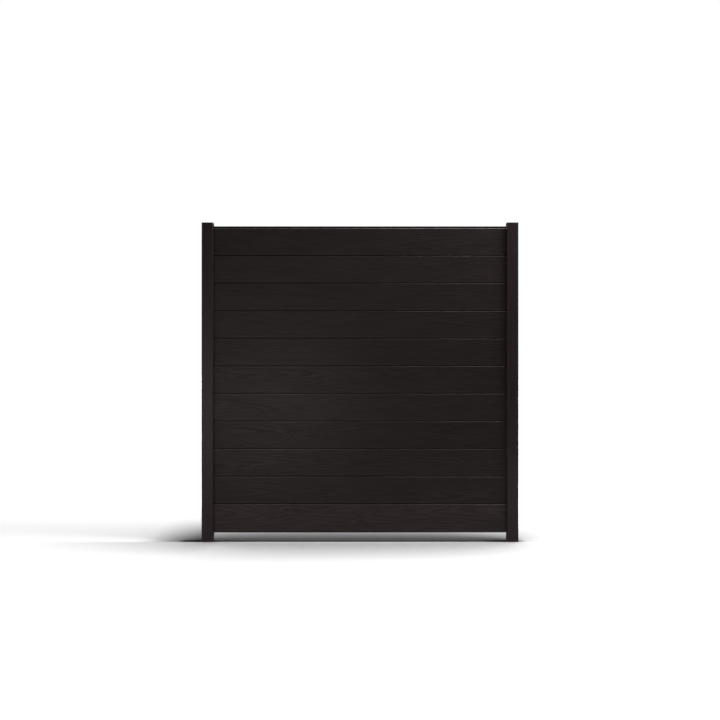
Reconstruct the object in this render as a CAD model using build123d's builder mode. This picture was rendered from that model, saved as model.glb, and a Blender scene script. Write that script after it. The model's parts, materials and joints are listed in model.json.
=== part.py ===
from build123d import *
import os

# Composite privacy fence panel. Two grooved aluminium posts hold a stack of
# hollow tongue-and-groove boards, which stands on a bottom rail and is closed
# by a top trim. Millimetres: X runs along the panel, Y from front to back and
# Z up. The origin is on the ground, midway between the posts.

# Posts
post_spacing = 1750.0
post_size = 65.0
post_wall = 2.0
post_corner_radius = 3.0
post_inner_radius = 1.0
post_projection = 17.0
channel_depth = 17.0
channel_lip_radius = 0.8

# Screw ports in the four corners of each post
port_bore = 4.2
port_wall = 1.9
port_sink = 0.6

# Post caps
cap_thickness = 3.0
cap_edge_chamfer = 0.8
plug_depth = 14.0
plug_wall = 1.6
plug_clearance = 0.3

# Boards
board_count = 11
board_thickness = 20.0
board_height = 155.0
board_arris_radius = 3.0
board_end_gap = 2.0
board_skin = 4.0
chamber_count = 5
chamber_corner = 2.5
tongue_width = 8.0
tongue_height = 9.5
tongue_corner = 1.2
tongue_clearance = 0.4
reveal = 3.5

# Seals that line the mouths of the channels
seal_thickness = 1.2
seal_width = 10.0
seal_setback = 1.0
seal_clearance = 0.3

# Bottom rail
ground_gap = 51.0
rail_height = 7.5
rail_wall = 2.0
rail_rib_wall = 1.4
rail_rib_clearance = 0.4
rail_edge_radius = 0.6

# Top trim
trim_web = 2.0
trim_leg = 1.8
trim_edge_radius = 1.5

# Brackets that carry the bottom rail
bracket_height = 40.0
bracket_thickness = 3.0
bracket_setback = 1.0
bracket_clearance = 0.3
bracket_bend_radius = 2.0
bracket_hole = 4.6

# Screws that hold the brackets
screw_shank = 4.2
screw_head = 8.0
screw_head_height = 2.4
screw_head_chamfer = 0.9
screw_reach = 3.0
screw_tip = 0.8
screw_spacing = 18.0
screw_edge_distance = 10.0
screw_hole = 4.5
recess_width = 1.2
recess_span = 4.4
recess_depth = 1.3

# Heights, from the ground up
groove_depth = tongue_height - reveal
board_pitch = board_height + reveal
board_base = ground_gap + rail_height
tongue_top = board_base + board_count * board_pitch + groove_depth
panel_top = tongue_top + trim_web
post_height = panel_top + post_projection

# Widths across the panel
groove_width = tongue_width + 2 * tongue_clearance
channel_width = board_thickness + 2 * (seal_thickness + seal_clearance)
channel_floor = post_size / 2 - channel_depth
board_length = post_spacing - 2 * (channel_floor + board_end_gap)

# Places inside a post, from its own centre line
inner_size = post_size - 2 * post_wall
web_offset = (channel_width + post_wall) / 2
core_size = 2 * (channel_floor - post_wall)
chamber_offset = (inner_size + channel_width) / 4 + post_wall / 2
chamber_depth = (inner_size - channel_width) / 2 - post_wall
port_radius = port_bore / 2 + port_wall
port_spacing = inner_size - 2 * (port_radius - port_sink)
port_block = (inner_size - port_spacing) / 2

sides = (("left", -1), ("right", 1))

os.makedirs("parts", exist_ok=True)


# Posts: a square tube with two webs from side to side, which are also the side
# walls of the open channels, two channel floors and a screw port in each corner
lower_screw_height = ground_gap - bracket_height + screw_edge_distance
screw_heights = (lower_screw_height, lower_screw_height + screw_spacing)

for side_name, side in sides:
    post_x = side * post_spacing / 2
    with BuildPart() as post:
        with BuildSketch(Plane((post_x, 0, 0))):
            RectangleRounded(post_size, post_size, post_corner_radius)
            RectangleRounded(inner_size, inner_size, post_inner_radius, mode=Mode.SUBTRACT)
            with GridLocations(0, 2 * web_offset, 1, 2):
                Rectangle(inner_size + post_wall, post_wall)
            with GridLocations(core_size + post_wall, 0, 2, 1):
                Rectangle(post_wall, channel_width)
            with GridLocations(port_spacing, port_spacing, 2, 2):
                Circle(port_radius)
            with GridLocations(port_spacing + port_block, port_spacing + port_block, 2, 2):
                Rectangle(port_block, port_block)
            with GridLocations(port_spacing, port_spacing, 2, 2):
                Circle(port_bore / 2, mode=Mode.SUBTRACT)
            with GridLocations(post_size - channel_depth, 0, 2, 1):
                Rectangle(channel_depth, channel_width, mode=Mode.SUBTRACT)
        extrude(amount=post_height)
        mouth_edges = post.edges().filter_by(Axis.Z).filter_by(
            lambda edge: abs(abs(edge.center().X - post_x) - post_size / 2) < 0.01
            and abs(abs(edge.center().Y) - channel_width / 2) < 0.01
        )
        fillet(mouth_edges, channel_lip_radius)
        with BuildSketch(Plane.YZ.offset(post_x - side * channel_floor)):
            with Locations(*[(0, height) for height in screw_heights]):
                Circle(screw_hole / 2)
        extrude(amount=side * post_wall, mode=Mode.SUBTRACT)
    post.part.label = f"{side_name}_post"
    export_step(post.part, f"parts/{side_name}_post.step")


# Post caps: a flat plate with three hollow plugs, one for each chamber
plug_length = port_spacing - 2 * (port_radius + plug_clearance)

for side_name, side in sides:
    post_x = side * post_spacing / 2
    with BuildPart() as cap:
        with BuildSketch(Plane((post_x, 0, post_height))):
            RectangleRounded(post_size, post_size, post_corner_radius)
        extrude(amount=cap_thickness)
        chamfer(cap.faces().sort_by(Axis.Z)[-1].edges(), cap_edge_chamfer)
        with BuildSketch(Plane((post_x, 0, post_height))):
            with GridLocations(0, 2 * chamber_offset, 1, 2):
                Rectangle(plug_length, chamber_depth - 2 * plug_clearance)
                Rectangle(
                    plug_length - 2 * plug_wall,
                    chamber_depth - 2 * (plug_clearance + plug_wall),
                    mode=Mode.SUBTRACT,
                )
            Rectangle(core_size - 2 * plug_clearance, channel_width - 2 * plug_clearance)
            Rectangle(
                core_size - 2 * (plug_clearance + plug_wall),
                channel_width - 2 * (plug_clearance + plug_wall),
                mode=Mode.SUBTRACT,
            )
        extrude(amount=-plug_depth)
    cap.part.label = f"{side_name}_post_cap"
    export_step(cap.part, f"parts/{side_name}_post_cap.step")


# Boards: one hollow section with a tongue on top and a groove below. Each
# tongue bears on the root of the groove above it, which leaves the reveal open
chamber_zone = board_height - groove_depth - 2 * board_skin
chamber_pitch = (chamber_zone + board_skin) / chamber_count

with BuildSketch() as tongue:
    Rectangle(tongue_width, tongue_height, align=(Align.CENTER, Align.MIN))
    chamfer(tongue.vertices().group_by(Axis.Y)[-1], tongue_corner)

with BuildSketch() as chamber:
    Rectangle(board_thickness - 2 * board_skin, chamber_pitch - board_skin)
    chamfer(chamber.vertices(), chamber_corner)

with BuildSketch() as board_section:
    with Locations((0, board_height / 2)):
        RectangleRounded(board_thickness, board_height, board_arris_radius)
    with Locations((0, board_height)):
        add(tongue.sketch)
    with Locations((0, groove_depth / 2)):
        Rectangle(groove_width, groove_depth, mode=Mode.SUBTRACT)
    with Locations((0, groove_depth + board_skin + chamber_zone / 2)):
        with GridLocations(0, chamber_pitch, 1, chamber_count):
            add(chamber.sketch, mode=Mode.SUBTRACT)

for number in range(1, board_count + 1):
    base = board_base + (number - 1) * board_pitch
    with BuildPart() as board:
        with BuildSketch(Plane.YZ.offset(-board_length / 2)):
            with Locations((0, base)):
                add(board_section.sketch)
        extrude(amount=board_length)
    board.part.label = f"board_{number:02d}"
    export_step(board.part, f"parts/board_{number:02d}.step")


# Bottom rail: a channel, open below, that carries the lowest board, with a
# raised rib in the board's groove that keeps it in line
rib_top = rail_height + groove_depth - rail_rib_clearance

with BuildPart() as bottom_rail:
    with BuildSketch(Plane.YZ.offset(-board_length / 2)):
        with Locations((0, ground_gap)):
            Rectangle(board_thickness, rail_height, align=(Align.CENTER, Align.MIN))
            Rectangle(tongue_width, rib_top, align=(Align.CENTER, Align.MIN))
            Rectangle(
                board_thickness - 2 * rail_wall,
                rail_height - rail_wall,
                align=(Align.CENTER, Align.MIN),
                mode=Mode.SUBTRACT,
            )
            Rectangle(
                tongue_width - 2 * rail_rib_wall,
                rib_top - rail_rib_wall,
                align=(Align.CENTER, Align.MIN),
                mode=Mode.SUBTRACT,
            )
    extrude(amount=board_length)
    rail_edges = bottom_rail.edges().filter_by(Axis.X).filter_by(
        lambda edge: abs(abs(edge.center().Y) - board_thickness / 2) < 0.01
    )
    fillet(rail_edges, rail_edge_radius)
bottom_rail.part.label = "bottom_rail"
export_step(bottom_rail.part, "parts/bottom_rail.step")


# Top trim: a narrow channel over the top tongue, between the board's shoulders
with BuildPart() as top_trim:
    with BuildSketch(Plane.YZ.offset(-board_length / 2)):
        with Locations((0, panel_top)):
            Rectangle(
                groove_width + 2 * trim_leg,
                trim_web + groove_depth,
                align=(Align.CENTER, Align.MAX),
            )
        with Locations((0, tongue_top)):
            Rectangle(
                groove_width,
                groove_depth,
                align=(Align.CENTER, Align.MAX),
                mode=Mode.SUBTRACT,
            )
    extrude(amount=board_length)
    fillet(top_trim.faces().sort_by(Axis.Z)[-1].edges().filter_by(Axis.X), trim_edge_radius)
top_trim.part.label = "top_trim"
export_step(top_trim.part, "parts/top_trim.step")


# Rail brackets: angles screwed to the floors of the inner channels
bracket_width = channel_width - 2 * bracket_clearance
bracket_leg = channel_depth - bracket_setback

for side_name, side in sides:
    floor_x = side * (post_spacing / 2 - channel_floor)
    with BuildPart() as bracket:
        with BuildSketch(Plane((floor_x, 0, ground_gap), x_dir=(-side, 0, 0), z_dir=(0, side, 0))):
            Rectangle(bracket_thickness, bracket_height, align=(Align.MIN, Align.MAX))
            Rectangle(bracket_leg, bracket_thickness, align=(Align.MIN, Align.MAX))
        extrude(amount=bracket_width / 2, both=True)
        bend_edge = bracket.edges().filter_by(Axis.Y).filter_by(
            lambda edge: abs(abs(edge.center().X - floor_x) - bracket_thickness) < 0.01
            and abs(edge.center().Z - ground_gap + bracket_thickness) < 0.01
        )
        fillet(bend_edge, bracket_bend_radius)
        with BuildSketch(Plane.YZ.offset(floor_x)):
            with Locations(*[(0, height) for height in screw_heights]):
                Circle(bracket_hole / 2)
        extrude(amount=-side * bracket_thickness, mode=Mode.SUBTRACT)
    bracket.part.label = f"{side_name}_rail_bracket"
    export_step(bracket.part, f"parts/{side_name}_rail_bracket.step")


# Bracket screws: pan heads on the brackets, shanks through the channel floors
with BuildPart() as bracket_screws:
    for side_name, side in sides:
        seat_x = side * (post_spacing / 2 - channel_floor - bracket_thickness)
        seat = Plane((seat_x, 0, 0), x_dir=(0, -side, 0), z_dir=(-side, 0, 0))
        with BuildSketch(seat):
            with Locations(*[(0, height) for height in screw_heights]):
                Circle(screw_head / 2)
        extrude(amount=screw_head_height)
        with BuildSketch(seat):
            with Locations(*[(0, height) for height in screw_heights]):
                Circle(screw_shank / 2)
        extrude(amount=-(bracket_thickness + post_wall + screw_reach))
        with BuildSketch(seat.offset(screw_head_height - recess_depth)):
            with Locations(*[(0, height) for height in screw_heights]):
                Rectangle(recess_width, recess_span)
                Rectangle(recess_span, recess_width)
        extrude(amount=recess_depth, mode=Mode.SUBTRACT)
    round_edges = bracket_screws.edges().filter_by(GeomType.CIRCLE)
    rim_edges = round_edges.filter_by(
        lambda edge: abs(edge.radius - screw_head / 2) < 0.01
    ).group_by(lambda edge: round(abs(edge.center().X), 3))[0]
    chamfer(rim_edges, screw_head_chamfer)
    tip_edges = round_edges.group_by(lambda edge: round(abs(edge.center().X), 3))[-1]
    chamfer(tip_edges, screw_tip)
bracket_screws.part.label = "bracket_screws"
export_step(bracket_screws.part, "parts/bracket_screws.step")


# Channel seals: a pair of strips at the mouth of each inner channel
for side_name, side in sides:
    mouth_x = side * (post_spacing - post_size) / 2
    with BuildPart() as seals:
        with BuildSketch(Plane((mouth_x + side * (seal_setback + seal_width / 2), 0, ground_gap))):
            with GridLocations(0, channel_width - seal_thickness, 1, 2):
                Rectangle(seal_width, seal_thickness)
        extrude(amount=panel_top - ground_gap)
    seals.part.label = f"{side_name}_channel_seals"
    export_step(seals.part, f"parts/{side_name}_channel_seals.step")
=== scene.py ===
import json
import math

import bmesh
import bpy
import numpy as np
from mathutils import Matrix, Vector
from mathutils.geometry import tessellate_polygon

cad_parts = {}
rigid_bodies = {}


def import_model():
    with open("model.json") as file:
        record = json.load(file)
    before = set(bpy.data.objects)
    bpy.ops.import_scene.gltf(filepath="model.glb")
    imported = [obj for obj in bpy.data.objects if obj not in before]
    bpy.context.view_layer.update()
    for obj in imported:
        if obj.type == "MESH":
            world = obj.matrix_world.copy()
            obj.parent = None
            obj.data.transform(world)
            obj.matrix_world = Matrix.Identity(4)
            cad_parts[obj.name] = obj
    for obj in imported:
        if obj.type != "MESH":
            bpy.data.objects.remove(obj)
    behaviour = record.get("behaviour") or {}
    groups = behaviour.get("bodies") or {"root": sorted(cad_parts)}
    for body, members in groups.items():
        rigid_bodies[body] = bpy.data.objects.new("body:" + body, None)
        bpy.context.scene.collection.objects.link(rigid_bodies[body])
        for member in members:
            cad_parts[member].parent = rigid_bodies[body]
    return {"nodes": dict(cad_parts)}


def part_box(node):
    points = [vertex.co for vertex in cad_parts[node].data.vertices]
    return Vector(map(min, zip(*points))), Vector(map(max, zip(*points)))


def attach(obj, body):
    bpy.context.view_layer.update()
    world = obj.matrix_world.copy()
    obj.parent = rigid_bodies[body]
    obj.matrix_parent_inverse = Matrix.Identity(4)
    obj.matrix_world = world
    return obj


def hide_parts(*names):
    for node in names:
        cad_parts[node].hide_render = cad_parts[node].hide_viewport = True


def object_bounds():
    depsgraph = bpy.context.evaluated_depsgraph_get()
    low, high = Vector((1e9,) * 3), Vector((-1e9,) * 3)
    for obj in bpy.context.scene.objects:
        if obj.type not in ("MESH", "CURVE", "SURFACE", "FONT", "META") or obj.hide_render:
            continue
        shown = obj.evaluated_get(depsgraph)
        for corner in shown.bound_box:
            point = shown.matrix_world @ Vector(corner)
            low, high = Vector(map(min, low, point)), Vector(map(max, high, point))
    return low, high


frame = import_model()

# Composite privacy fence panel: the looks. Metres, in the frame of the CAD part:
# X along the panel, Y from front to back, Z up.

cad_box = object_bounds()

# The camera stands square to the panel, a little above its middle
camera_distance = 7.2
camera_height = 1.127
camera_lens = 62.87
sensor_width = 36.0
horizon_shift = -0.0206
view_limit = 200.0

# The floor is grey to the rays that light the part, and nearly white to the eye,
# with a soft contact shadow
floor_reach = 40.0
paper_grey = 0.3
floor_brightness = 1.64
contact_reach = 1.0
contact_curve = 2.0
contact_samples = 12

# Three patches deepen that shadow: behind the panel, close to its foot, and before
# its left foot. Each pair is an edge, over which a patch fades in or out. At its
# step, the one behind falls to a share of its depth
foot_line = (-0.04, -0.02)
behind_shade = 0.62
behind_reach = 1.1
behind_left = (-1.22, -0.94)
behind_step = (-0.92, -0.85)
behind_share = 0.33
behind_right = (0.95, 1.25)
close_shade = 0.85
close_reach = 0.9
close_curve = 3.0
close_left = (-1.3, -0.94)
close_right = (0.86, 0.95)
before_shade = 0.45
before_reach = 0.5
before_left = (-1.9, -1.0)
before_right = (-0.92, -0.80)

# A glow brings the floor up to the background's white: far behind the panel and
# beside it, and near the camera
far_glow = 0.28
far_reach = 3.5
far_curve = 1.7
beside_start = 2.2
near_glow = 0.5
near_edge = (-2.5, -0.9)

# The world is a dim fill light, and for gloss a dim studio with bright sides
fill_light = 0.02
studio_front = 0.10
studio_back = 0.12
studio_back_edge = (0.0, 0.6)
studio_sides = 2.4
studio_side_edge = (0.75, 0.95)

# Board section
board_count = 11
arris_radius = 0.003
arris_steps = 5
tongue_width = 0.008
tongue_corner = 0.0012
groove_width = 0.0088
groove_depth = 0.006
reveal = 0.0035
board_skin = 0.004
chamber_count = 5
chamber_corner = 0.0025

# Embossing, and the spacing of the points that carry it
emboss_depth = 0.0007
emboss_margin = 0.004
station_pitch = 0.012
row_pitch = 0.0022
smooth_angle = 32.0

# Wood figure: rings round a heart, which runs at a share of the board's height and
# at a depth below its face, and knots that push the rings aside. A pair is a range,
# or for a cell of noise its length and height
ring_spacing = 0.011
ring_taper = (0.030, 0.065)
ring_sway = 0.030
sway_cell = (0.30, 0.05)
ring_jitter = 0.7
jitter_cell = (0.12, 0.012)
ring_sharpness = 0.8
heart_height = (0.3, 0.7)
heart_depth = (0.012, 0.042)
heart_drift = 0.05
drift_cell = (0.5, 1.0)
knot_count = (2, 4)
knot_height = (0.15, 0.85)
knot_size = (0.012, 0.022)
knot_stretch = 2.6
knot_push = (2.0, 4.0)
fibre_share = 0.55
fibre_cell = (0.09, 0.006)
patch_floor = 0.35
patch_cell = (0.35, 0.06)
plain_grain = 0.55

# Boards differ a little in tone at random, and the lowest is painted the lightest, as painted light bounced
# up from the floor
tone_spread = 0.27
tone_seed = 89028
figure_seed = 100
lowest_board_painted_bounce = 1.85

# Painted shade darkens the tongue and groove inside the joints and the lower arris,
# and a painted highlight makes the faces paler just above their lower arris
joint_painted_shade = 0.1
lower_arris_painted_shade = 0.85
painted_highlight_tone = 1.4
painted_highlight_reach = 0.009

# Colours
board_dark = (0.0117, 0.0076, 0.0072)
board_light = (0.0207, 0.0140, 0.0135)
board_cloud = (0.0216, 0.0143, 0.0138)
post_dark = (0.0187, 0.0109, 0.0121)
post_light = (0.0286, 0.0166, 0.0185)
trim_dark = (0.0050, 0.0042, 0.0045)
trim_light = (0.0085, 0.0072, 0.0076)
rubber_dark = (0.005, 0.005, 0.005)
rubber_light = (0.011, 0.011, 0.011)
aluminium = (0.70, 0.70, 0.71)
steel = (0.62, 0.61, 0.60)
white = (1.0, 1.0, 1.0)

# Parts of a board's outline
FRONT, BACK, UPPER_ARRIS, LOWER_ARRIS, HIDDEN = range(5)


class Shader:
    """Builds the nodes of a material or a world with short calls."""

    def __init__(self, owner, output="ShaderNodeOutputMaterial"):
        owner.use_nodes = True
        self.owner = owner
        self.nodes = owner.node_tree.nodes
        self.links = owner.node_tree.links
        self.nodes.clear()
        self.output = self.nodes.new(output)

    def set(self, socket, value):
        """Links a socket to an output, or gives it a constant."""
        if isinstance(value, bpy.types.NodeSocket):
            self.links.new(value, socket)
        elif socket.type == "RGBA":
            socket.default_value = (*value, 1.0)
        else:
            socket.default_value = value

    def add(self, kind, **inputs):
        """A new node, with its inputs set by name."""
        node = self.nodes.new(kind)
        for name, value in inputs.items():
            self.set(node.inputs[name.replace("_", " ")], value)
        return node

    def split(self, kind, output):
        """The x, y and z of a node's vector."""
        parts = self.add("ShaderNodeSeparateXYZ", Vector=self.nodes.new(kind).outputs[output])
        return [parts.outputs[axis] for axis in "XYZ"]

    def ray(self, kind):
        """1 for one kind of ray, and 0 for the others."""
        return self.nodes.new("ShaderNodeLightPath").outputs[kind]

    def seen_by_eye(self):
        """1 for camera and transmission rays, and 0 for the rays that light the part."""
        return self.math("MAXIMUM", self.ray("Is Camera Ray"), self.ray("Is Transmission Ray"))

    def attribute(self, name):
        """A value that the mesh stores at its vertices."""
        node = self.nodes.new("ShaderNodeAttribute")
        node.attribute_name = name
        return node.outputs["Fac"]

    def noise(self, scale, detail=3.0, distortion=0.0):
        """Noise in object space, with a scale in cells per metre along each axis."""
        coords = self.nodes.new("ShaderNodeTexCoord").outputs["Object"]
        place = self.add("ShaderNodeMapping", Vector=coords, Scale=scale).outputs["Vector"]
        node = self.add(
            "ShaderNodeTexNoise",
            Vector=place,
            Scale=1.0,
            Detail=detail,
            Roughness=0.55,
            Distortion=distortion,
        )
        return node.outputs["Fac"]

    def math(self, operation, first, second=0.0, third=0.0):
        """The result of a Math node."""
        node = self.nodes.new("ShaderNodeMath")
        node.operation = operation
        for socket, value in zip(node.inputs, (first, second, third)):
            self.set(socket, value)
        return node.outputs["Value"]

    def product(self, first, *others):
        """All the values multiplied together."""
        for other in others:
            first = self.math("MULTIPLY", first, other)
        return first

    def weighted(self, first, share, second):
        """The first value by its share, and the second by the rest."""
        return self.math("MULTIPLY_ADD", first, share, self.math("MULTIPLY", second, 1.0 - share))

    def choose(self, factor, first, second):
        """The first value where the factor is 0, and the second where it is 1."""
        return self.math("MULTIPLY_ADD", factor, self.math("SUBTRACT", second, first), first)

    def spread(self, value, low, high, new_low, new_high):
        """Maps a value from one range to another, and holds it at the ends."""
        node = self.add(
            "ShaderNodeMapRange",
            Value=value,
            From_Min=low,
            From_Max=high,
            To_Min=new_low,
            To_Max=new_high,
        )
        return node.outputs["Result"]

    def blend(self, factor, first, second):
        """Mixes two colours."""
        node = self.nodes.new("ShaderNodeMix")
        node.data_type = "RGBA"
        self.set(node.inputs["Factor"], factor)
        self.set(node.inputs["A"], first)
        self.set(node.inputs["B"], second)
        return node.outputs["Result"]

    def scaled(self, colour, factor):
        """A colour made lighter or darker by a factor."""
        node = self.nodes.new("ShaderNodeVectorMath")
        node.operation = "SCALE"
        self.set(node.inputs["Vector"], colour)
        self.set(node.inputs["Scale"], factor)
        return node.outputs["Vector"]

    def bump(self, height, distance, strength):
        """A normal that follows a height, where a height of 1 stands the distance proud."""
        node = self.add("ShaderNodeBump", Height=height, Distance=distance, Strength=strength)
        return node.outputs["Normal"]

    def finish(self, closure):
        """Ends the tree, and returns its material or world."""
        self.links.new(closure, self.output.inputs["Surface"])
        return self.owner

    def surface(self, **inputs):
        """Ends the material in a Principled shader."""
        return self.finish(self.add("ShaderNodeBsdfPrincipled", **inputs).outputs["BSDF"])


def new_shader(name):
    """An empty material to build."""
    return Shader(bpy.data.materials.new(name))


def add_object(name, data):
    """A new object in the scene."""
    new = bpy.data.objects.new(name, data)
    bpy.context.scene.collection.objects.link(new)
    return new


def board_material():
    """Dark extruded composite, glossier on the ridges of its grain and glossiest on its upper arrises."""
    shader = new_shader("board_composite")
    arris = shader.attribute("arris")
    fibre = shader.noise((14.0, 60.0, 620.0))
    streak = shader.noise((5.0, 20.0, 75.0), distortion=0.4)
    cloud = shader.noise((3.0, 8.0, 14.0))
    ridge = shader.weighted(fibre, 0.35, shader.attribute("grain"))
    tone = shader.weighted(streak, 0.5, ridge)
    base = shader.blend(shader.spread(tone, 0.35, 0.68, 0.0, 1.0), board_dark, board_light)
    clouded = shader.blend(shader.spread(cloud, 0.38, 0.66, 0.0, 0.55), base, board_cloud)
    face_roughness = shader.spread(ridge, 0.2, 0.8, 0.66, 0.50)
    # The tone attribute carries each board's tone, the painted shade and painted highlight of its section,
    # and the lowest board's painted bounce light
    return shader.surface(
        Base_Color=shader.scaled(clouded, shader.attribute("tone")),
        Roughness=shader.spread(arris, 0.0, 1.0, face_roughness, 0.34),
        Specular_IOR_Level=shader.spread(arris, 0.0, 1.0, 0.22, 0.55),
        Normal=shader.bump(fibre, 0.0002, strength=0.3),
    )


def powder_coat(name, dark, light, roughness, level):
    """Fine-textured powder coat on an extrusion, with faint streaks upright."""
    shader = new_shader(name)
    streak = shader.noise((160.0, 160.0, 5.0))
    speckle = shader.noise((900.0, 900.0, 900.0), detail=2.0)
    tone = shader.weighted(speckle, 0.35, streak)
    return shader.surface(
        Base_Color=shader.blend(shader.spread(tone, 0.35, 0.65, 0.0, 1.0), dark, light),
        Roughness=shader.spread(speckle, 0.3, 0.7, roughness - 0.04, roughness + 0.05),
        Specular_IOR_Level=level,
        Normal=shader.bump(speckle, 0.00025, strength=0.35),
    )


def metal(name, colour, roughness, grain_scale):
    """Bare metal with fine lines of rolling or turning."""
    shader = new_shader(name)
    lines = shader.noise(grain_scale)
    dark = tuple(channel * 0.8 for channel in colour)
    return shader.surface(
        Base_Color=shader.blend(shader.spread(lines, 0.3, 0.7, 0.0, 1.0), dark, colour),
        Metallic=1.0,
        Roughness=shader.spread(lines, 0.3, 0.7, roughness - 0.05, roughness + 0.08),
        Normal=shader.bump(lines, 0.0001, strength=0.3),
    )


def rubber(name):
    """Black extruded rubber with a dull bloom."""
    shader = new_shader(name)
    bloom = shader.spread(shader.noise((40.0, 40.0, 12.0)), 0.35, 0.7, 0.0, 1.0)
    skin = shader.noise((1500.0, 1500.0, 1500.0), detail=2.0)
    return shader.surface(
        Base_Color=shader.blend(bloom, rubber_dark, rubber_light),
        Roughness=0.72,
        Specular_IOR_Level=0.3,
        Normal=shader.bump(skin, 0.0001, strength=0.3),
    )


def dress(material, *names):
    """Gives CAD nodes their material."""
    for name in names:
        data = frame["nodes"][name].data
        data.materials.clear()
        data.materials.append(material)


def dress_nodes():
    """Gives every CAD node but the boards its material."""
    post_coat = powder_coat("post_coat", post_dark, post_light, roughness=0.44, level=0.22)
    trim_coat = powder_coat("trim_coat", trim_dark, trim_light, roughness=0.30, level=0.50)
    mill_finish = metal("mill_aluminium", aluminium, roughness=0.32, grain_scale=(20.0, 600.0, 600.0))
    turned = metal("stainless_steel", steel, roughness=0.26, grain_scale=(900.0, 200.0, 200.0))
    dress(post_coat, "left_post", "right_post", "left_post_cap", "right_post_cap")
    dress(trim_coat, "top_trim", "bottom_rail")
    dress(mill_finish, "left_rail_bracket", "right_rail_bracket")
    dress(turned, "bracket_screws")
    dress(rubber("seal_rubber"), "left_channel_seals", "right_channel_seals")


def lattice(u, w, cell_u, cell_w, rng):
    """Smooth random values between 0 and 1, one new value in each cell."""
    across = u / cell_u
    along = w / cell_w
    columns = int(across.max()) + 3
    rows = int(along.max()) + 3
    values = rng.random((columns, rows))
    i = np.floor(across).astype(int)
    j = np.floor(along).astype(int)
    s = across - i
    t = along - j
    s = s * s * (3 - 2 * s)
    t = t * t * (3 - 2 * t)
    low = values[i, j] * (1 - s) + values[i + 1, j] * s
    high = values[i, j + 1] * (1 - s) + values[i + 1, j + 1] * s
    return low * (1 - t) + high * t


def layered(u, w, cell, rng, layers=3):
    """Layers of smooth noise, each half as coarse and half as strong as the last."""
    total = 0.0
    weight = 0.0
    for layer in range(layers):
        share = 0.5**layer
        total = total + share * lattice(u, w, cell[0] * share, cell[1] * share, rng)
        weight += share
    return total / weight


def ring_phase(u, w, height, rng):
    """Number of growth rings from the heart to each point of a flat-sawn face."""
    heart = height * rng.uniform(*heart_height)
    heart = heart + heart_drift * (layered(u, w * 0, drift_cell, rng) - 0.5)
    sway = ring_sway * (layered(u, w, sway_cell, rng) - 0.5)
    span = np.hypot(w - heart + sway, rng.uniform(*heart_depth))
    peak = u.max() * rng.random()
    taper = rng.uniform(*ring_taper) * np.abs(u - peak)
    phase = (span - taper) / ring_spacing
    for _ in range(rng.integers(*knot_count, endpoint=True)):
        knot_u = u.max() * rng.random()
        knot_w = height * rng.uniform(*knot_height)
        size = rng.uniform(*knot_size)
        reach = ((u - knot_u) / (knot_stretch * size)) ** 2 + ((w - knot_w) / size) ** 2
        phase = phase + rng.uniform(*knot_push) * np.exp(-reach)
    return phase + ring_jitter * layered(u, w, jitter_cell, rng)


def wood_figure(u, w, height, rng):
    """Height of the wood figure, from 0 in its pores to 1 on its ridges."""
    rings = 0.5 + 0.5 * np.cos(2 * math.pi * ring_phase(u, w, height, rng))
    fibres = layered(u, w, fibre_cell, rng)
    patches = layered(u, w, patch_cell, rng, layers=2)
    worn = patch_floor + (1 - patch_floor) * patches
    figure = rings**ring_sharpness * worn + fibre_share * fibres
    low, high = np.percentile(figure, (2, 98))
    return np.clip((figure - low) / (high - low), 0, 1)


def arc(centre_y, centre_z, start, end):
    """Points of a rounded arris from one angle to the other, in degrees."""
    angles = np.radians(np.linspace(start, end, arris_steps + 1))
    return [
        (centre_y + arris_radius * math.cos(angle), centre_z + arris_radius * math.sin(angle))
        for angle in angles
    ]


def board_outline(thickness, height, tongue_height):
    """Section of a board, once round from the foot of its front face.

    Gives the points, and for each the share of the embossing that it takes and the
    part of the outline that it is on.
    """
    half = thickness / 2
    inset = half - arris_radius
    row_count = int((height - 2 * arris_radius) / row_pitch) + 1
    rows = np.linspace(arris_radius, height - arris_radius, row_count)[1:-1]
    fade = np.clip((np.minimum(rows, height - rows) - arris_radius) / emboss_margin, 0, 1)
    top = height + tongue_height
    tongue = [
        (-tongue_width / 2, height),
        (-tongue_width / 2, top - tongue_corner),
        (-tongue_width / 2 + tongue_corner, top),
        (tongue_width / 2 - tongue_corner, top),
        (tongue_width / 2, top - tongue_corner),
        (tongue_width / 2, height),
    ]
    groove = [
        (groove_width / 2, 0),
        (groove_width / 2, groove_depth),
        (-groove_width / 2, groove_depth),
        (-groove_width / 2, 0),
    ]
    parts = (
        ([(-half, z) for z in rows], fade, FRONT),
        (arc(-inset, height - arris_radius, 180, 90), 0, UPPER_ARRIS),
        (tongue, 0, HIDDEN),
        (arc(inset, height - arris_radius, 90, 0), 0, UPPER_ARRIS),
        ([(half, z) for z in rows[::-1]], fade[::-1], BACK),
        (arc(inset, arris_radius, 0, -90), 0, LOWER_ARRIS),
        (groove, 0, HIDDEN),
        (arc(-inset, arris_radius, 270, 180), 0, LOWER_ARRIS),
    )
    points, shares, sides = [], [], []
    for stretch, share, side in parts:
        points += stretch
        shares += list(np.broadcast_to(share, len(stretch)))
        sides += [side] * len(stretch)
    return np.array(points), np.array(shares), np.array(sides)


def chamber_outlines(thickness, height):
    """Sections of the hollow chambers inside a board."""
    zone = height - groove_depth - 2 * board_skin
    pitch = (zone + board_skin) / chamber_count
    half_y = thickness / 2 - board_skin
    half_z = (pitch - board_skin) / 2
    ring = [(half_y, half_z - chamber_corner), (half_y - chamber_corner, half_z)]
    ring += [(-y, z) for y, z in ring[::-1]]
    ring += [(-y, -z) for y, z in ring]
    middle = groove_depth + board_skin + zone / 2
    first = middle - pitch * (chamber_count - 1) / 2
    return [np.array([(y, z + first + number * pitch) for y, z in ring]) for number in range(chamber_count)]


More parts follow.
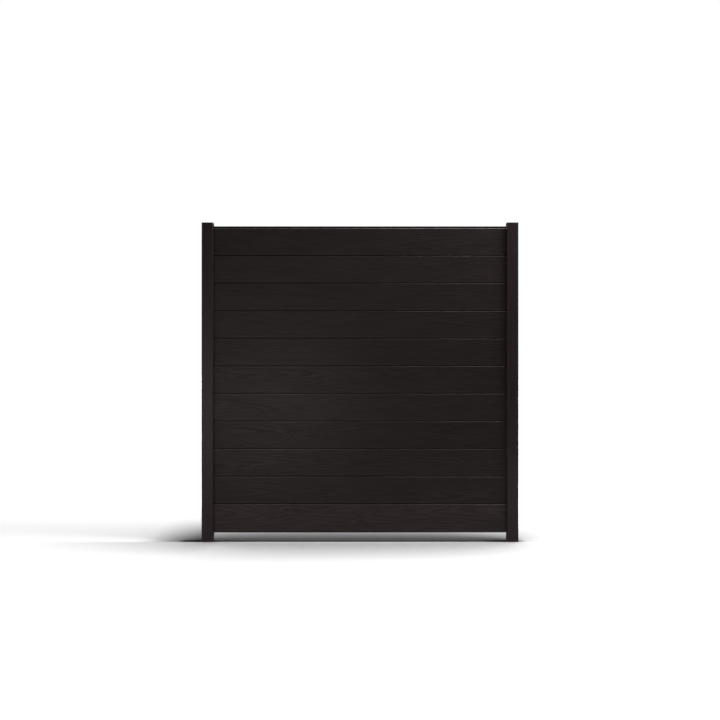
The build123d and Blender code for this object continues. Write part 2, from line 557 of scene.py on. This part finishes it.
def board_grain(outline, sides, stations, height, rng):
    """Wood figure at each point of a board's skin, and a plain value off its two faces."""
    shape = (len(stations), len(outline))
    u = np.broadcast_to((stations - stations[0])[:, None], shape)
    w = np.broadcast_to(outline[:, 1], shape)
    grain = np.full(shape, plain_grain)
    for side in (FRONT, BACK):
        on_face = sides == side
        grain[:, on_face] = wood_figure(u[:, on_face], w[:, on_face], height, rng)
    return grain


def skin_places(outline, shares, stations, foot, grain):
    """Places of the skin's vertices, ring by ring along the board."""
    depth = emboss_depth * shares * (1 - grain)
    places = np.empty((*grain.shape, 3))
    places[..., 0] = stations[:, None]
    places[..., 1] = outline[:, 0] - np.sign(outline[:, 0]) * depth
    places[..., 2] = outline[:, 1] + foot
    return places.reshape(-1, 3)


def tube_faces(first, columns, count):
    """Quads between neighbouring rings of a sweep, whose vertices start at first."""
    ring, point = np.meshgrid(np.arange(columns - 1), np.arange(count), indexing="ij")
    here = first + ring * count + point
    beside = first + ring * count + (point + 1) % count
    return np.stack([here, beside, beside + count, here + count], axis=-1).reshape(-1, 4).tolist()


def end_faces(loops, starts):
    """Triangles that close one end of the board around the mouths of its chambers."""
    rings = [[Vector((y, z, 0)) for y, z in loop] for loop in loops]
    numbers = [start + index for loop, start in zip(loops, starts) for index in range(len(loop))]
    return [[numbers[corner] for corner in triangle] for triangle in tessellate_polygon(rings)]


def painted_section_shading(outline, sides):
    """Painted shade and painted highlight at each point of the outline, against the plain face."""
    painted_highlight_band = np.clip(1 - (outline[:, 1] - arris_radius) / painted_highlight_reach, 0, 1)
    face_painted_highlight = 1 + (painted_highlight_tone - 1) * painted_highlight_band
    return np.select([sides == HIDDEN, sides == LOWER_ARRIS], [joint_painted_shade, lower_arris_painted_shade], face_painted_highlight)


def store(mesh, name, values, rest):
    """Stores a value at each vertex: first those of the skin, and the same for all the others."""
    every = np.full(len(mesh.vertices), rest, np.float32)
    every[: values.size] = values.reshape(-1)
    mesh.attributes.new(name, "FLOAT", "POINT").data.foreach_set("value", every)


def make_board(node, tone, rng):
    """A board with the wood figure embossed in both faces, and its hollow chambers."""
    low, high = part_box(node)
    thickness = high.y - low.y
    tongue_height = groove_depth + reveal
    height = high.z - low.z - tongue_height
    outline, shares, sides = board_outline(thickness, height, tongue_height)
    stations = np.linspace(low.x, high.x, int((high.x - low.x) / station_pitch) + 1)
    grain = board_grain(outline, sides, stations, height, rng)
    columns, count = grain.shape

    vertices = [skin_places(outline, shares, stations, low.z, grain)]
    faces = tube_faces(0, columns, count)
    mouths = [(outline, 0, (columns - 1) * count)]
    used = columns * count
    for chamber in chamber_outlines(thickness, height):
        size = len(chamber)
        for x in (low.x, high.x):
            vertices.append(np.column_stack([np.full(size, x), chamber[:, 0], chamber[:, 1] + low.z]))
        faces += tube_faces(used, 2, size)
        mouths.append((chamber, used, used + size))
        used += 2 * size
    loops, left_starts, right_starts = zip(*mouths)
    for starts in (left_starts, right_starts):
        faces += end_faces(loops, starts)

    mesh = bpy.data.meshes.new(f"{node}_embossed")
    mesh.from_pydata(np.concatenate(vertices), [], faces)
    for name, values, rest in (
        ("grain", grain, plain_grain),
        ("arris", sides == UPPER_ARRIS, 0.0),
        # Each board's tone, times the painted shade and painted highlight of its section
        ("tone", tone * painted_section_shading(outline, sides), 1.0),
    ):
        store(mesh, name, np.broadcast_to(values, grain.shape), rest)
    return mesh


def face_outwards(mesh):
    """Turns all faces outwards and shades the rounded parts smooth."""
    shell = bmesh.new()
    shell.from_mesh(mesh)
    bmesh.ops.recalc_face_normals(shell, faces=shell.faces)
    shell.to_mesh(mesh)
    shell.free()
    mesh.shade_smooth()
    mesh.set_sharp_from_angle(angle=math.radians(smooth_angle))


def add_boards(material):
    """Replaces each CAD board with its embossed one."""
    tones_and_bounce = 1.0 + tone_spread * (np.random.default_rng(tone_seed).random(board_count) - 0.5)
    # The lowest board is painted lighter, as painted light bounced up from the floor
    tones_and_bounce[0] = lowest_board_painted_bounce
    for number, tone in enumerate(tones_and_bounce, start=1):
        node = f"board_{number:02d}"
        mesh = make_board(node, tone, np.random.default_rng(figure_seed + number))
        face_outwards(mesh)
        mesh.materials.append(material)
        board = add_object(f"{node}_embossed", mesh)
        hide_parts(node)
        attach(board, "root")


def floor_light(shader, x, y):
    """Share of the floor's light that the three patches of shade leave."""
    behind = shader.product(
        shader.spread(y, *foot_line, 0.0, 1.0),
        shader.spread(y, 0.0, behind_reach, behind_shade, 0.0),
        shader.spread(x, *behind_left, 0.0, 1.0),
        shader.spread(x, *behind_step, 1.0, behind_share),
        shader.spread(x, *behind_right, 1.0, 0.0),
    )
    close = shader.product(
        shader.spread(y, *foot_line, 0.0, close_shade),
        shader.math("POWER", shader.spread(y, 0.0, close_reach, 1.0, 0.0), close_curve),
        shader.spread(x, *close_left, 0.0, 1.0),
        shader.spread(x, *close_right, 1.0, 0.0),
    )
    before = shader.product(
        shader.spread(y, *foot_line, 1.0, 0.0),
        shader.spread(y, -before_reach, 0.0, 0.0, before_shade),
        shader.spread(x, *before_left, 0.0, 1.0),
        shader.spread(x, *before_right, 1.0, 0.0),
    )
    return shader.product(*(shader.math("SUBTRACT", 1.0, shade) for shade in (behind, close, before)))


def floor_glow(shader, x, y):
    """Glow of the floor, far from the panel and near the camera."""
    beside = shader.math("SUBTRACT", shader.math("ABSOLUTE", x), beside_start)
    away = shader.math("MAXIMUM", y, beside)
    rise = shader.math("POWER", shader.spread(away, 0.0, far_reach, 0.0, 1.0), far_curve)
    far = shader.math("MINIMUM", rise, far_glow)
    near = shader.spread(y, *near_edge, near_glow, 0.0)
    return shader.math("ADD", far, near)


def floor_material():
    """Paper that is grey to the rays that light the part, and bright to the eye."""
    shader = new_shader("floor_paper")
    x, y, _ = shader.split("ShaderNodeNewGeometry", "Position")
    corners = shader.add("ShaderNodeAmbientOcclusion", Distance=contact_reach)
    corners.samples = contact_samples
    contact = shader.math("POWER", corners.outputs["AO"], contact_curve)
    light = floor_light(shader, x, y)
    brightness = shader.product(contact, light, floor_brightness)
    glow = shader.math("MULTIPLY", floor_glow(shader, x, y), light)
    paper = shader.add("ShaderNodeBsdfDiffuse", Color=(paper_grey,) * 3)
    lit = shader.add("ShaderNodeBsdfDiffuse", Color=brightness)
    glowing = shader.add("ShaderNodeEmission", Strength=glow)
    bright = shader.nodes.new("ShaderNodeAddShader")
    shader.set(bright.inputs[0], lit.outputs["BSDF"])
    shader.set(bright.inputs[1], glowing.outputs["Emission"])
    seen = shader.nodes.new("ShaderNodeMixShader")
    shader.set(seen.inputs[0], shader.seen_by_eye())
    shader.set(seen.inputs[1], paper.outputs["BSDF"])
    shader.set(seen.inputs[2], bright.outputs["Shader"])
    return shader.finish(seen.outputs["Shader"])


def add_floor():
    """A plain pale floor, which meets the white background and keeps the part's shadow."""
    corners = [(-floor_reach, -floor_reach, 0), (floor_reach, -floor_reach, 0)]
    corners += [(-x, -y, 0) for x, y, _ in corners]
    mesh = bpy.data.meshes.new("floor")
    mesh.from_pydata(corners, [], [(0, 1, 2, 3)])
    mesh.materials.append(floor_material())
    floor = add_object("floor", mesh)


def add_world():
    """Dim fill light, with white behind the part to the eye, and a studio for gloss to mirror."""
    world = bpy.data.worlds.new("studio")
    bpy.context.scene.world = world
    shader = Shader(world, "ShaderNodeOutputWorld")
    x, y, _ = shader.split("ShaderNodeTexCoord", "Generated")
    room = shader.spread(y, *studio_back_edge, studio_front, studio_back)
    sides = shader.spread(shader.math("ABSOLUTE", x), *studio_side_edge, 0.0, studio_sides)
    mirrored = shader.math("ADD", room, sides)
    light = shader.choose(shader.ray("Is Glossy Ray"), fill_light, mirrored)
    strength = shader.choose(shader.seen_by_eye(), light, 1.0)
    background = shader.add("ShaderNodeBackground", Color=white, Strength=strength)
    shader.finish(background.outputs["Background"])


def panel_pieces():
    """The pieces of the panel, for the lamps that light nothing else."""
    group = bpy.data.collections.new("panel_pieces")
    for piece in bpy.context.scene.objects:
        if piece.type == "MESH" and piece.name != "floor":
            group.objects.link(piece)
    return group


def add_sun(strength, width, lean):
    """Narrow light from overhead, a little from the right, which draws the thin shadow at the feet."""
    light = bpy.data.lights.new("top", "SUN")
    light.energy = strength
    light.angle = math.radians(width)
    add_object("top", light).rotation_euler = (0, math.radians(lean), 0)


def add_lamp(name, lit, place, aim, size, watts):
    """A soft rectangular lamp, which lights a group of pieces, or everything where no group is given."""
    light = bpy.data.lights.new(name, "AREA")
    light.shape = "RECTANGLE"
    light.size, light.size_y = size
    light.energy = watts
    lamp = add_object(name, light)
    lamp.location = place
    lamp.rotation_euler = (Vector(aim) - Vector(place)).to_track_quat("-Z", "Y").to_euler()
    lamp.visible_camera = False
    if lit is not None:
        lamp.light_linking.receiver_collection = lit


def add_lamps():
    """Light from the upper right, weak fill from low in front, and a lamp on each side for the back."""
    panel = panel_pieces()
    add_sun(strength=1.6, width=1.5, lean=3.8)
    add_lamp("key", None, place=(2.3, -0.9, 3.2), aim=(0.6, 0.0, 1.3), size=(1.2, 1.0), watts=47.0)
    add_lamp("edge", panel, place=(1.5, -0.7, 4.0), aim=(1.3, 0.0, 0.9), size=(2.4, 0.5), watts=52.0)
    add_lamp("left_near", panel, place=(-0.5, -1.0, 0.75), aim=(-0.45, 0.0, 0.8), size=(0.5, 0.5), watts=2.1)
    add_lamp("left_far", panel, place=(-1.9, -2.2, 0.5), aim=(-0.5, 0.0, 0.7), size=(1.0, 0.8), watts=13.0)
    add_lamp("right_kick", panel, place=(0.9, -1.2, 0.1), aim=(0.6, 0.0, 0.1), size=(1.0, 0.1), watts=1.7)
    for name, side in (("back_left", -1), ("back_right", 1)):
        place = (side * 3.2, 2.2, 2.4)
        add_lamp(name, panel, place, aim=(side * 0.3, 0.0, 0.9), size=(1.5, 1.5), watts=85.0)


def add_camera():
    """The camera, square to the front of the panel and level."""
    low, high = cad_box
    data = bpy.data.cameras.new("camera")
    data.lens = camera_lens
    data.sensor_width = sensor_width
    data.shift_y = horizon_shift
    data.clip_end = view_limit
    camera = add_object("camera", data)
    camera.location = ((low.x + high.x) / 2, low.y - camera_distance, camera_height)
    camera.rotation_euler = (math.radians(90), 0, 0)
    bpy.context.scene.camera = camera


bpy.context.scene.view_settings.view_transform = "Standard"
add_camera()
add_world()
add_floor()
dress_nodes()
add_boards(board_material())
add_lamps()
